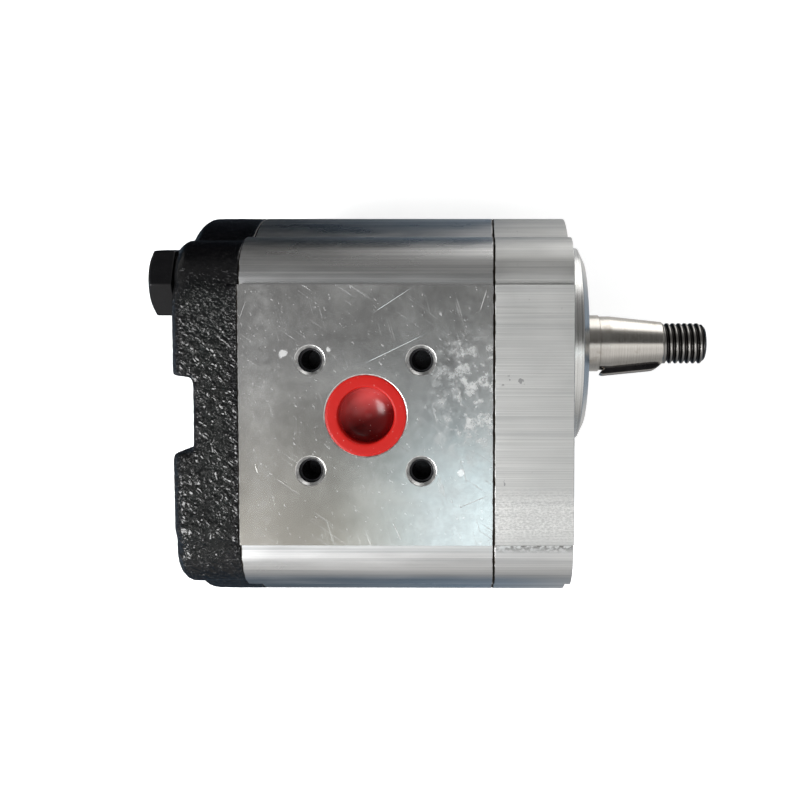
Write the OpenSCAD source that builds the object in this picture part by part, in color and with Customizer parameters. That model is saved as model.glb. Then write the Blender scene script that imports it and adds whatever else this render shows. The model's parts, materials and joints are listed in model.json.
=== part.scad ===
// External gear pump with a tapered drive shaft.
// X runs along the shaft towards its threaded end, Z points out of the suction port.
// The origin is on the drive shaft's axis, in the mounting face that the pilot stands on.

/* [Housing] */
// Distance between the two gear shafts
centre_distance = 36; // [35:0.5:37]
// Thickness of the front cover behind the mounting face
front_cover_t = 20.5; // [19:0.5:24]
// Length of the aluminium body
body_length = 65.4; // [62:0.2:80]
// Thickness of the cast rear cover
rear_cover_t = 17.6; // [16:0.2:24]
// Distance from the shaft plane to each port pad
pad_height = 43.5; // [42:0.5:46]
// Width of a port pad across the two shafts
pad_width = 66.6; // [64:0.2:68]
// Radius of the housing's round ends, about each shaft axis
end_radius = 36.5; // [35:0.5:40]
// Radius of the four corner bosses
boss_radius = 12; // [11:0.5:12.5]
// Corner bolt position from the pump's centre, across the shafts
bolt_y = 34.5; // [34:0.5:36]
// Corner bolt position from the shaft plane
bolt_z = 29.5; // [29:0.5:30]
// Height of the step between the front cover's flat and the body's milled pad
pad_step = 0.3; // [0:0.1:0.6]

/* [Mounting] */
// Diameter of the centring pilot
pilot_d = 56; // [52:1:56]
// Height of the pilot above the mounting face
pilot_height = 5.8; // [5.6:0.2:8]
// Diameter of the two open mounting holes
mounting_hole_d = 11; // [10.5:0.5:11]

/* [Shaft] */
// Diameter of the bearing journals and the seal land
journal_d = 18; // [17:0.5:18]
// Large diameter of the 1:5 taper
taper_d = 16; // [15.5:0.5:16]
// Start of the taper, from the mounting face
taper_start = 14.2; // [14:0.2:16]
// Length of the taper
taper_length = 16.6; // [16:0.2:17]
// Diameter of the shaft's end thread
thread_d = 12; // [12:1:12]
// Overall length of the shaft beyond the mounting face
shaft_reach = 42.2; // [42:0.2:48]
// Width of the segment key
key_width = 4; // [3:1:4]
// Height of the key above the taper
key_proud = 1.4; // [1.2:0.1:1.8]
// Angle of the key about the shaft, from the suction side
key_angle = 80; // [0:5:90]

/* [Gears] */
// Number of teeth on each gear
teeth = 12; // [12:1:12]
// Pressure angle
pressure_angle = 25; // [25:1:26]
// Radius over the tooth tips
tip_radius = 20.7; // [20.5:0.1:20.7]
// Radius of the tooth roots
root_radius = 14.8; // [14.6:0.1:14.9]
// Play between meshed teeth
backlash = 0.3; // [0.2:0.05:0.4]
// Length of each bearing block
block_length = 20; // [18:1:22]

/* [Ports] */
// Bore of the suction port
suction_d = 20; // [18:1:20]
// Bolt circle of the suction port
suction_pcd = 40; // [40:1:40]
// Bore of the pressure port
pressure_d = 15; // [13:1:15]
// Bolt circle of the pressure port
pressure_pcd = 35; // [35:1:35]
// Depth of the M6 threads in the pads
m6_depth = 13; // [12:1:14]

/* [Hidden] */
$fn = 96;

eps = 0.01;
gap = 0.1;             // between parts that are assembled dry in the housing
fit = 0.02;            // between parts that are pressed or seated
journal_clearance = 0.04;
pump_y = -centre_distance / 2;
driven_y = -centre_distance;
body_front = -front_cover_t;
body_back = body_front - body_length;
rear_face = body_back - rear_cover_t;
body_mid = (body_front + body_back) / 2;
front_block = [body_front - block_length - gap / 2, body_front - gap / 2];
rear_block = [body_back + gap / 2, body_back + block_length + gap / 2];
gear_span = [rear_block[1] + gap, front_block[0] - gap];
taper_end = taper_start + taper_length;
journal_r = journal_d / 2;
chamber_radius = tip_radius + 0.3;
block_radius = chamber_radius - gap;
bush_wall = 1.5;
bush_r = journal_r + journal_clearance;
bush_outer = bush_r + bush_wall;
pilot_lead = [1.7, 3.5];   // along the shaft, and in radius
cast_inset = 0.8;          // how far the casting's outline stays inside the body's
cover_chamfer = 2.2;
channel_width = 19.6;
channel_depth = 5.6;
bolt_d = 10;
bolt_core_r = 4.25;
bolt_hole_r = 5.5;
bolt_length = 95;
washer_t = 1.7;
washer_r = 8;
washer_sunk = 1.6;         // in a spot face, so the head is just clear of the cover
spot_face_r = 8.4;
hex_across = 17;
hex_height = 6.4;
hex_turn = 6;
seal_back = -4.4;
seal_width = 7;
seal_bore_r = 16;
snap_t = 1.2;
snap_groove_r = 16.9;
axial_groove_depth = 2.2;
body_seal_depth = 1.9;
body_seal_in = 23;
body_seal_out = 25.5;
dowel_r = 3;
dowel_z = 34.5;
dowel_length = 16;
m6_core_r = 2.5;
m6_relief_r = 3.05;
m6_mouth_r = 3.85;
key_radius = 12.3;
key_height = 5;
key_half = 9.9;
key_x = 20.6;
plug_depth = 12;
plug_recess = 0.1;

// The solid or hole between two X positions, from a circle or a flat outline
module along_x(span) {
  translate([span[0], 0, 0]) rotate([90, 0, 90]) linear_extrude(span[1] - span[0]) children();
}

module rod(span, r, y = 0, z = 0) {
  translate([span[0], y, z]) rotate([0, 90, 0]) cylinder(h = span[1] - span[0], r = r);
}

module cone(span, r0, r1, y = 0, z = 0) {
  translate([span[0], y, z]) rotate([0, 90, 0]) cylinder(h = span[1] - span[0], r1 = r0, r2 = r1);
}

module at_shafts() {
  for (y = [0, driven_y]) translate([y, 0]) children();
}

module at_corners() {
  for (sy = [-1, 1], sz = [-1, 1]) translate([pump_y + sy * bolt_y, sz * bolt_z]) children();
}

// The extruded outline that the covers and the body share
module housing_outline(half_z) {
  at_shafts() circle(end_radius);
  at_corners() circle(boss_radius);
  translate([pump_y, 0]) square([2 * bolt_y, 2 * (bolt_z + boss_radius)], center = true);
  translate([pump_y, 0]) square([pad_width, 2 * half_z], center = true);
}

module eight_outline(r) {
  at_shafts() circle(r);
}

module racetrack(r) {
  at_shafts() circle(r);
  translate([pump_y, 0]) square([centre_distance, 2 * r], center = true);
}

module body_seal_ring(clear) {
  difference() {
    racetrack(body_seal_out + clear);
    racetrack(body_seal_in - clear);
  }
}

// Open ring round both bores, on the pressure side
module three_ring(r_out, r_in) {
  intersection() {
    difference() {
      eight_outline(r_out);
      eight_outline(r_in);
    }
    translate([pump_y, 8 - 50]) square([200, 100], center = true);
  }
}

module dowel_set(span, r) {
  for (z = [-dowel_z, dowel_z]) rod(span, r, pump_y, z);
}

// The two corners whose holes stay open for the mounting bolts
module mounting_holes(span) {
  rod(span, mounting_hole_d / 2, pump_y + bolt_y, -bolt_z);
  rod(span, mounting_hole_d / 2, pump_y - bolt_y, bolt_z);
}

module assembly_holes(span, r) {
  rod(span, r, pump_y + bolt_y, bolt_z);
  rod(span, r, pump_y - bolt_y, -bolt_z);
}

// M6 tapped hole with its mouth at the origin, going down -Z
module m6_hole() {
  translate([0, 0, -m6_depth]) cylinder(h = m6_depth + eps, r = m6_core_r);
  translate([0, 0, -2]) cylinder(h = 2 + eps, r = m6_relief_r);
  translate([0, 0, m6_relief_r - m6_mouth_r])
    cylinder(h = m6_mouth_r - m6_relief_r + eps, r1 = m6_relief_r, r2 = m6_mouth_r + eps);
}

// Port bore with its four bolt holes, on the pad that faces +Z
module port(bore_d, pcd) {
  mouth = 0.6;
  translate([body_mid, pump_y, 0]) cylinder(h = pad_height + eps, r = bore_d / 2);
  translate([body_mid, pump_y, pad_height - mouth])
    cylinder(h = mouth + eps, r1 = bore_d / 2, r2 = bore_d / 2 + mouth + eps);
  for (a = [45:90:315])
    translate([body_mid + pcd / 2 * cos(a), pump_y + pcd / 2 * sin(a), pad_height]) m6_hole();
}

module front_cover() color("silver") difference() {
  union() {
    along_x([body_front, 0]) housing_outline(pad_height - pad_step);
    rod([-eps, pilot_height - pilot_lead[0]], pilot_d / 2);
    cone([pilot_height - pilot_lead[0], pilot_height], pilot_d / 2, pilot_d / 2 - pilot_lead[1]);
  }
  rod([body_front - eps, seal_back + eps], journal_r + 1);
  rod([seal_back, pilot_height + eps], seal_bore_r);
  rod([seal_back + seal_width + 0.2, seal_back + seal_width + 0.4 + snap_t], snap_groove_r);
  cone([pilot_height - 0.8, pilot_height + eps], seal_bore_r, seal_bore_r + 0.8);
  mounting_holes([body_front - eps, eps]);
  assembly_holes([body_front - eps, -4], bolt_core_r);
  along_x([body_front - eps, body_front + body_seal_depth]) body_seal_ring(fit);
  dowel_set([body_front - eps, body_front + dowel_length / 2 + gap], dowel_r);
}

module pump_body() color("lightgray") difference() {
  along_x([body_back, body_front]) housing_outline(pad_height);
  along_x([body_back - eps, body_front + eps]) eight_outline(chamber_radius);
  port(suction_d, suction_pcd);
  mirror([0, 0, 1]) port(pressure_d, pressure_pcd);
  mounting_holes([body_back - eps, body_front + eps]);
  assembly_holes([body_back - eps, body_front + eps], bolt_hole_r);
  dowel_set([body_front - dowel_length / 2 - gap, body_front + eps], dowel_r);
  dowel_set([body_back - eps, body_back + dowel_length / 2 + gap], dowel_r);
}

// A flat-sided block whose back edges are chamfered
module chamfered_slab(half_y, half_z) {
  c = cover_chamfer;
  x0 = rear_face;
  x1 = body_back;
  intersection() {
    translate([0, pump_y + half_y, 0]) rotate([90, 0, 0]) linear_extrude(2 * half_y)
      polygon([[x0, c - half_z], [x0 + c, -half_z], [x1, -half_z],
               [x1, half_z], [x0 + c, half_z], [x0, half_z - c]]);
    translate([0, pump_y, -half_z]) linear_extrude(2 * half_z)
      polygon([[x0, c - half_y], [x0 + c, -half_y], [x1, -half_y],
               [x1, half_y], [x0 + c, half_y], [x0, half_y - c]]);
  }
}

module chamfered_round(r, y, z) {
  x1 = rear_face + cover_chamfer;
  translate([0, y, z]) rotate([0, 90, 0]) rotate_extrude()
    polygon([[0, rear_face], [r - cover_chamfer, rear_face], [r, x1], [r, body_back], [0, body_back]]);
}

module rear_cover() color([0.08, 0.08, 0.09]) difference() {
  union() {
    for (y = [0, driven_y]) chamfered_round(end_radius, y, 0);
    for (sy = [-1, 1], sz = [-1, 1])
      chamfered_round(boss_radius - cast_inset, pump_y + sy * bolt_y, sz * bolt_z);
    chamfered_slab(bolt_y, bolt_z + boss_radius - cast_inset);
    chamfered_slab(pad_width / 2, pad_height - 1);
  }
  translate([rear_face - eps, pump_y - channel_width / 2, -60])
    cube([channel_depth, channel_width, 120]);
  mounting_holes([rear_face - eps, body_back + eps]);
  assembly_holes([rear_face - eps, body_back + eps], bolt_hole_r);
  assembly_holes([rear_face - eps, rear_face + washer_sunk], spot_face_r);
  along_x([body_back - body_seal_depth, body_back + eps]) body_seal_ring(fit);
  dowel_set([body_back - dowel_length / 2 - gap, body_back + eps], dowel_r);
}

// Involute function in degrees
function inv(a) = tan(a) * 180 / PI - a;

base_radius = centre_distance / 2 * cos(pressure_angle);
tooth_half = 90 / teeth - backlash / 4 / (centre_distance / 2) * 180 / PI + inv(pressure_angle);
flank_steps = 7;

function flank_angle(r) = tooth_half - inv(acos(min(1, base_radius / r)));
function flank_radius(i) = base_radius + (tip_radius - base_radius) * i / flank_steps;
function polar(r, a) = [r * cos(a), r * sin(a)];
function tooth_points(centre) = concat(
  [polar(root_radius, centre - tooth_half)],
  [for (i = [0:flank_steps]) polar(flank_radius(i), centre - flank_angle(flank_radius(i)))],
  [for (i = [flank_steps:-1:0]) polar(flank_radius(i), centre + flank_angle(flank_radius(i)))],
  [polar(root_radius, centre + tooth_half)]
);

module gear(first_tooth) {
  along_x(gear_span)
    polygon([for (k = [0:teeth - 1]) each tooth_points(first_tooth + k * 360 / teeth)]);
}

function taper_r(x) = taper_d / 2 - (x - taper_start) / 10;

// Side view of the key: u along the taper's surface, v outwards
module key_outline(clear) {
  foot_r = 1.5;
  nose_r = 4.5;
  intersection() {
    translate([0, key_proud - key_height + key_radius]) circle(key_radius + clear);
    union() {
      translate([-key_half - clear, -20]) square([2 * key_half + 2 * clear, 20 + key_proud - nose_r]);
      translate([-key_half - clear, -20])
        square([2 * key_half + 2 * clear - nose_r, 20 + key_proud - foot_r]);
      translate([foot_r - key_half, -20]) square([2 * key_half - foot_r - nose_r, 20 + key_proud]);
      translate([foot_r - key_half, key_proud - foot_r]) circle(foot_r + clear);
      translate([key_half - nose_r, key_proud - nose_r]) circle(nose_r + clear);
    }
  }
}

module key_solid(clear) {
  rotate([key_angle, 0, 0]) translate([key_x, 0, taper_r(key_x)]) rotate([0, atan(0.1), 0])
    rotate([90, 0, 0]) linear_extrude(key_width + 2 * clear, center = true) key_outline(clear);
}

module woodruff_key() color("dimgray") key_solid(0);

module drive_gear_shaft() color("gray") difference() {
  union() {
    gear(-90);
    cone([body_back + 0.8, body_back + 1.6], journal_r - 0.8, journal_r);
    rod([body_back + 1.6, 4.5], journal_r);
    cone([4.5, 5.15], journal_r, journal_r - 0.65);
    rod([5.15, 11], journal_r - 0.65);
    rod([11, taper_start], taper_d / 2);
    cone([taper_start, taper_end], taper_d / 2, taper_r(taper_end));
    rod([taper_end, shaft_reach - 1], thread_d / 2);
    cone([shaft_reach - 1, shaft_reach], thread_d / 2, thread_d / 2 - 1);
  }
  key_solid(fit);
}

module driven_gear_shaft() color("gray") translate([0, driven_y, 0]) {
  gear(90 + 180 / teeth);
  cone([body_back + 0.8, body_back + 1.6], journal_r - 0.8, journal_r);
  rod([body_back + 1.6, body_front - 1.6], journal_r);
  cone([body_front - 1.6, body_front - 0.8], journal_r, journal_r - 0.8);
}

// Bearing block with its bush bores, a seal groove on its outer face and relief slots at the gears
module bearing_block(span, outer, outward) {
  inner = outer == span[1] ? span[0] : span[1];
  difference() {
    along_x(span) eight_outline(block_radius);
    for (y = [0, driven_y]) rod([span[0] - eps, span[1] + eps], bush_outer + fit, y);
    translate([outward > 0 ? outer - axial_groove_depth : outer - eps, 0, 0])
      along_x([0, axial_groove_depth + eps]) three_ring(19.05, 15.95);
    for (sz = [-1, 1])
      translate([inner - 1.5, pump_y - 4, sz * 6.5 - 2.5]) cube([3, 8, 5]);
  }
}

module front_bearing_block() color("goldenrod") bearing_block(front_block, front_block[1], 1);

module rear_bearing_block() color("goldenrod") bearing_block(rear_block, rear_block[0], -1);

module bush(span, y) {
  difference() {
    rod([span[0] + 0.6, span[1] - 0.6], bush_outer, y);
    rod([span[0], span[1]], bush_r, y);
  }
}

module front_drive_bush() color("peru") bush(front_block, 0);
module front_driven_bush() color("peru") bush(front_block, driven_y);
module rear_drive_bush() color("peru") bush(rear_block, 0);
module rear_driven_bush() color("peru") bush(rear_block, driven_y);

front_groove = [front_block[1] - axial_groove_depth + fit, front_block[1]];
rear_groove = [rear_block[0], rear_block[0] + axial_groove_depth - fit];

module front_axial_seal() color("black") along_x(front_groove) three_ring(19, 17.3);
module rear_axial_seal() color("black") along_x(rear_groove) three_ring(19, 17.3);
module front_backup_rings() color("ivory") along_x(front_groove) three_ring(17.2, 16);
module rear_backup_rings() color("ivory") along_x(rear_groove) three_ring(17.2, 16);

module front_body_seal() color("black")
  along_x([body_front + fit, body_front + body_seal_depth - fit]) body_seal_ring(0);
module rear_body_seal() color("black")
  along_x([body_back - body_seal_depth + fit, body_back - fit]) body_seal_ring(0);

// A ring about the shaft, from its outline in radius and X
module ring_about_shaft(points) {
  rotate([0, 90, 0]) rotate_extrude() polygon(points);
}

seal_front = seal_back + seal_width;

module shaft_seal_case() color("dimgray") ring_about_shaft([
  [seal_bore_r - fit, seal_back + 0.6], [seal_bore_r - fit, seal_front],
  [seal_bore_r - 1, seal_front], [seal_bore_r - 1, seal_back + 1.4],
  [12.4, seal_back + 1.4], [12.4, seal_back + 0.6]
]);

module shaft_seal_lip() color("saddlebrown") ring_about_shaft([
  [seal_bore_r - 1.02, seal_back + 1.42], [seal_bore_r - 1.02, seal_front],
  [9.6, seal_front], [9.3, seal_front - 1], [10.6, seal_front - 1.6],
  [12.6, seal_front - 1.6], [12.6, seal_back + 2.6],
  [11.4, seal_back + 2.4], [11.2, seal_back + 3.1], [9.3, seal_back + 2.2],
  [10.4, seal_back + 0.8], [12.38, seal_back + 0.8], [12.38, seal_back + 1.42]
]);

module shaft_seal_spring() color("lightgray")
  translate([seal_back + 3.9, 0, 0]) rotate([0, 90, 0]) rotate_extrude()
    translate([11.75, 0]) circle(0.72);

module snap_ring() color("dimgray") {
  span = [seal_front + 0.3, seal_front + 0.3 + snap_t];
  along_x(span) difference() {
    union() {
      difference() {
        circle(snap_groove_r - 0.1);
        circle(14.2);
        rotate(180) translate([0, -2.5]) square([20, 5]);
      }
      for (s = [-1, 1]) rotate(180 + s * 14) translate([13.6, 0]) circle(2);
    }
    for (s = [-1, 1]) rotate(180 + s * 14) translate([13.6, 0]) circle(0.9);
    rotate(180) translate([0, -1]) square([20, 2]);
  }
}

module front_dowel_pins() color("silver")
  dowel_set([body_front - dowel_length / 2, body_front + dowel_length / 2], dowel_r - fit);
module rear_dowel_pins() color("silver")
  dowel_set([body_back - dowel_length / 2, body_back + dowel_length / 2], dowel_r - fit);

// Hexagon bolt at one corner, its head just above the cover on a washer in its spot face
module assembly_bolt(y, z) translate([0, y, z]) {
  under_head = rear_face + washer_sunk - washer_t;
  top = under_head - hex_height;
  corner_r = hex_across / 2 / cos(30);
  intersection() {
    translate([top, 0, 0]) rotate([hex_turn, 0, 0]) rotate([0, 90, 0])
      cylinder(h = hex_height, r = corner_r, $fn = 6);
    union() {
      rod([top + 1, under_head], corner_r + 1);
      cone([top, top + 1], hex_across / 2 - 0.3, corner_r + 0.2);
    }
  }
  rod([under_head - eps, under_head + bolt_length - 30], bolt_d / 2);
  rod([under_head + bolt_length - 30, under_head + bolt_length - 1], bolt_core_r - fit);
  cone([under_head + bolt_length - 1, under_head + bolt_length], bolt_core_r - fit, bolt_core_r - 1);
}

module washer(y, z) difference() {
  seat = rear_face + washer_sunk;
  rod([seat - washer_t, seat], washer_r, y, z);
  rod([seat - washer_t - eps, seat + eps], bolt_d / 2 + 0.25, y, z);
}

module assembly_bolt_upper() color([0.1, 0.1, 0.1]) assembly_bolt(pump_y + bolt_y, bolt_z);
module assembly_bolt_lower() color([0.1, 0.1, 0.1]) assembly_bolt(pump_y - bolt_y, -bolt_z);
module bolt_washer_upper() color([0.1, 0.1, 0.1]) washer(pump_y + bolt_y, bolt_z);
module bolt_washer_lower() color([0.1, 0.1, 0.1]) washer(pump_y - bolt_y, -bolt_z);

// Cup-shaped transit plug, pressed into a port that faces +Z
module port_plug(bore_d, cup_depth) {
  r = bore_d / 2 - 0.05;
  top = pad_height - plug_recess;
  mouth = 0.5;
  cup_r = r - 2.75;
  translate([body_mid, pump_y, 0]) difference() {
    union() {
      translate([0, 0, top - plug_depth]) cylinder(h = 1, r1 = r - 0.8, r2 = r);
      translate([0, 0, top - plug_depth + 1]) cylinder(h = plug_depth - 1, r = r);
      translate([0, 0, top - mouth]) cylinder(h = mouth, r1 = r, r2 = r + mouth);
    }
    translate([0, 0, top - cup_depth]) cylinder(h = cup_depth + eps, r1 = cup_r - 0.4, r2 = cup_r);
    translate([0, 0, top - plug_depth - eps]) cylinder(h = plug_depth - cup_depth - 1.6, r = cup_r - 0.4);
  }
}

module suction_plug() color("red") port_plug(suction_d, 6);
module pressure_plug() color("red") mirror([0, 0, 1]) port_plug(pressure_d, 6);

front_cover();
pump_body();
rear_cover();
drive_gear_shaft();
driven_gear_shaft();
woodruff_key();
front_bearing_block();
rear_bearing_block();
front_drive_bush();
front_driven_bush();
rear_drive_bush();
rear_driven_bush();
front_axial_seal();
rear_axial_seal();
front_backup_rings();
rear_backup_rings();
front_body_seal();
rear_body_seal();
shaft_seal_case();
shaft_seal_lip();
shaft_seal_spring();
snap_ring();
front_dowel_pins();
rear_dowel_pins();
assembly_bolt_upper();
assembly_bolt_lower();
bolt_washer_upper();
bolt_washer_lower();
suction_plug();
pressure_plug();
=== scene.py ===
"""Looks for the gear pump: camera, light, floor, materials and detailed pieces around the CAD frame."""

import json
import math

import bmesh
import bpy
from mathutils import Matrix, Vector, noise


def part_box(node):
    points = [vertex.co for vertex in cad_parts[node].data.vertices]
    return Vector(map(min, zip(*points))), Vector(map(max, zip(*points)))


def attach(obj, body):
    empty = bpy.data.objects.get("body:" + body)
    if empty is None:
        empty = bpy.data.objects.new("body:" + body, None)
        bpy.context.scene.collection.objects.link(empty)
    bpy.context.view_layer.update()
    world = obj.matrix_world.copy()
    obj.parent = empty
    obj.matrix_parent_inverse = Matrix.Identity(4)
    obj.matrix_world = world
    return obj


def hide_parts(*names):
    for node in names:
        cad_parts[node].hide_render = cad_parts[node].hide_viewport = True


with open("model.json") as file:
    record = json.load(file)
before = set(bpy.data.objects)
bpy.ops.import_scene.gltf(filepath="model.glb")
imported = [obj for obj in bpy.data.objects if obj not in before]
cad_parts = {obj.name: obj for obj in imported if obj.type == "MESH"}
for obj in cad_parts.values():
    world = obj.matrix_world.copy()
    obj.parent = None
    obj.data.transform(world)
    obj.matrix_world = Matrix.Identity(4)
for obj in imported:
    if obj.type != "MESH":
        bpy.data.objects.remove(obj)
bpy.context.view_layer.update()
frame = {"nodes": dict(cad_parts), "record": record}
nodes = frame["nodes"]
MM = 0.001

# ---------------------------------------------------------------- places from the frame, and a few given sizes
body_low, body_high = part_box("pump_body")
shaft_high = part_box("drive_gear_shaft")[1]
pump_y = (body_low.y + body_high.y) / 2
port_x = (body_low.x + body_high.x) / 2
floor_z = body_low.z
pad_z = body_high.z
cover_flat_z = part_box("front_cover")[1].z
rear_joint = body_low.x
front_joint = body_high.x
FLAT_HALF = 33.3 * MM  # half the width of the pads and flats along Y
HOLE_STEP = 20 * MM * math.sin(math.radians(45))  # from the suction port's centre to its four tapped holes
SEAM = 0.35 * MM  # width of the broken edges where the covers meet the body

# ---------------------------------------------------------------- camera
CAMERA_FOOT = Vector((-24.5, 3.3, 0)) * MM  # straight below the lens, on the shaft plane
CAMERA_HEIGHT = 291.9 * MM
CAMERA_TURN = [math.radians(a) for a in (-2.87, 0.29, 0.06)]


def make_camera():
    data = bpy.data.cameras.new("camera")
    data.lens = 44.1
    data.sensor_width = 36
    data.shift_x = -0.0919
    data.shift_y = -0.0235
    data.clip_start = 0.01
    camera = bpy.data.objects.new("camera", data)
    bpy.context.scene.collection.objects.link(camera)
    turn = Matrix.Identity(4)
    for angle, axis in zip(CAMERA_TURN, "XYZ"):
        turn = turn @ Matrix.Rotation(angle, 4, axis)
    camera.matrix_world = Matrix.Translation(CAMERA_FOOT + Vector((0, 0, CAMERA_HEIGHT))) @ turn
    bpy.context.scene.camera = camera


make_camera()


# ---------------------------------------------------------------- node helpers
TURNING_LINES = 4200  # turning marks per metre, about


class Nodes:
    """A material's node tree, with short calls for the nodes that the materials below share."""

    def __init__(self, name, roughness, metallic=0.0):
        self.material = bpy.data.materials.new(name)
        self.material.use_nodes = True
        self.tree = self.material.node_tree
        self.shader = self.tree.nodes["Principled BSDF"]
        self.shader.inputs["Roughness"].default_value = roughness
        self.shader.inputs["Metallic"].default_value = metallic
        self.place = self.add("ShaderNodeTexCoord").outputs["Object"]
        split = self.add("ShaderNodeSeparateXYZ")
        self.link(self.place, split.inputs[0])
        self.x, self.y, self.z = (split.outputs[name] for name in "XYZ")

    def add(self, kind, **settings):
        node = self.tree.nodes.new(kind)
        for key, value in settings.items():
            setattr(node, key, value)
        return node

    def link(self, source, target):
        self.tree.links.new(source, target)

    def feed(self, socket, value):
        """Sets a socket from a number, a colour or another node's output."""
        if isinstance(value, bpy.types.NodeSocket):
            self.link(value, socket)
        elif isinstance(value, (tuple, list)) and len(value) == 3 and socket.type == "RGBA":
            socket.default_value = (*value, 1)
        else:
            socket.default_value = value

    def mapped(self, scale=(1, 1, 1), turn=0.0, shift=(0, 0, 0)):
        node = self.add("ShaderNodeMapping")
        self.link(self.place, node.inputs["Vector"])
        node.inputs["Scale"].default_value = scale
        node.inputs["Rotation"].default_value = (0, 0, turn)
        node.inputs["Location"].default_value = shift
        return node.outputs["Vector"]

    def noise(self, vector, scale, detail=3.0, rough=0.55, warp=0.0):
        node = self.add("ShaderNodeTexNoise")
        self.link(vector, node.inputs["Vector"])
        node.inputs["Scale"].default_value = scale
        node.inputs["Detail"].default_value = detail
        node.inputs["Roughness"].default_value = rough
        node.inputs["Distortion"].default_value = warp
        return node.outputs["Fac"]

    def ramp(self, value, low, high, out_low=0.0, out_high=1.0):
        """A clamped linear step from out_low to out_high as value goes from low to high."""
        node = self.add("ShaderNodeMapRange")
        node.clamp = True
        for key, entry in zip(("Value", "From Min", "From Max", "To Min", "To Max"),
                              (value, low, high, out_low, out_high)):
            self.feed(node.inputs[key], entry)
        return node.outputs["Result"]

    def math(self, operation, a, b=0.0):
        node = self.add("ShaderNodeMath", operation=operation)
        self.feed(node.inputs[0], a)
        self.feed(node.inputs[1], b)
        return node.outputs[0]

    def times(self, *values):
        product = values[0]
        for value in values[1:]:
            product = self.math("MULTIPLY", product, value)
        return product

    def away(self, value, centre):
        """The distance between value and centre."""
        return self.math("ABSOLUTE", self.math("SUBTRACT", value, centre))

    def near(self, value, centre, reach, soft):
        """1 where value is within reach of centre, falling to 0 over soft."""
        return self.ramp(self.away(value, centre), reach, reach + soft, 1.0, 0.0)

    def radius(self, a, b):
        return self.math("SQRT", self.math("ADD", self.times(a, a), self.times(b, b)))

    def mix(self, factor, a, b):
        """Colour a where factor is 0, colour b where it is 1."""
        node = self.add("ShaderNodeMix", data_type="RGBA")
        self.feed(node.inputs["Factor"], factor)
        self.feed(node.inputs[6], a)
        self.feed(node.inputs[7], b)
        return node.outputs[2]

    def blend(self, factor, a, b):
        """The same as mix, for plain numbers."""
        node = self.add("ShaderNodeMix", data_type="FLOAT")
        self.feed(node.inputs["Factor"], factor)
        self.feed(node.inputs[2], a)
        self.feed(node.inputs[3], b)
        return node.outputs[0]

    def split(self, vector):
        node = self.add("ShaderNodeSeparateXYZ")
        self.link(vector, node.inputs[0])
        return node.outputs["X"], node.outputs["Y"]

    def hairs(self, angle, seed):
        """Fine straight scratches that run at one angle in the XY plane, here and there."""
        line = self.noise(self.turned(angle, (60, 2600, 200), seed), 1.0, 1, 0.5)
        patch = self.noise(self.mapped((1, 1, 1), 0, (seed * 3.1, 0, 0)), 130, 2)
        return self.times(self.ramp(line, 0.66, 0.72), self.ramp(patch, 0.5, 0.62))

    def rings(self):
        """Coordinates for marks that run round the shaft's axis: radius and X, finely spaced."""
        join = self.add("ShaderNodeCombineXYZ")
        self.link(self.times(self.radius(self.y, self.z), TURNING_LINES), join.inputs["X"])
        self.link(self.times(self.x, TURNING_LINES), join.inputs["Y"])
        return join.outputs[0]

    def turned(self, angle, scale, seed):
        """Coordinates turned by angle about Z and only then stretched by scale."""
        node = self.add("ShaderNodeMapping")
        self.link(self.mapped((1, 1, 1), angle, (seed * 0.01, seed * 0.02, 0)), node.inputs["Vector"])
        node.inputs["Scale"].default_value = scale
        return node.outputs["Vector"]

    def stroke(self, start, end, width):
        """A single scratch between two points of the XY plane, in millimetres, fading at its ends."""
        run = Vector(end) - Vector(start)
        turn = -math.atan2(run.y, run.x)
        shift = Matrix.Rotation(turn, 2) @ Vector(start) * -MM
        along, across = self.split(self.mapped((1, 1, 1), turn, (shift.x, shift.y, 0)))
        length = run.length * MM
        line = self.ramp(self.math("ABSOLUTE", across), 0.0, width * MM, 1.0, 0.0)
        tail = self.ramp(along, length * 0.7, length, 1, 0)
        return self.times(line, self.ramp(along, 0, length * 0.2), tail)

    def spot(self, centre, reach, edge):
        """A ragged blot round a point of the XY plane, in millimetres. Edge is a noise that frays it."""
        away = self.radius(self.math("SUBTRACT", self.x, centre[0] * MM),
                           self.math("SUBTRACT", self.y, centre[1] * MM))
        frayed = self.math("ADD", away, self.ramp(edge, 0.3, 0.7, -0.5 * reach * MM, 0.5 * reach * MM))
        return self.ramp(frayed, reach * MM, reach * 0.6 * MM)

    def most(self, *masks):
        """The highest of the masks at each place."""
        top = masks[0]
        for mask in masks[1:]:
            top = self.math("MAXIMUM", top, mask)
        return top

    def bump(self, height, depth_mm, strength=1.0):
        node = self.add("ShaderNodeBump")
        node.inputs["Strength"].default_value = strength
        node.inputs["Distance"].default_value = depth_mm * MM
        self.link(height, node.inputs["Height"])
        self.link(node.outputs["Normal"], self.shader.inputs["Normal"])

    def set(self, **sockets):
        """Feeds the shader's sockets, named with _ for each space."""
        for key, value in sockets.items():
            self.feed(self.shader.inputs[key.replace("_", " ")], value)


# ---------------------------------------------------------------- materials
# the dark oily colour of the seams, which also serves as painted shade there and below the front cover's flat
OIL_AND_SHADE = (0.035, 0.028, 0.022)


def seam_dirt_and_shade(n, joints):
    """Painted shade in the grooves between the body and its covers, with a dark oily tint."""
    wander = n.noise(n.mapped(), 500, 2)
    reach = n.ramp(wander, 0.3, 0.7, 0.25 * MM, 0.5 * MM)
    masks = []
    for x in joints:
        masks.append(n.ramp(n.math("DIVIDE", n.away(n.x, x), reach), 0.65, 1.0, 1.0, 0.0))
    return n.most(*masks)


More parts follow.
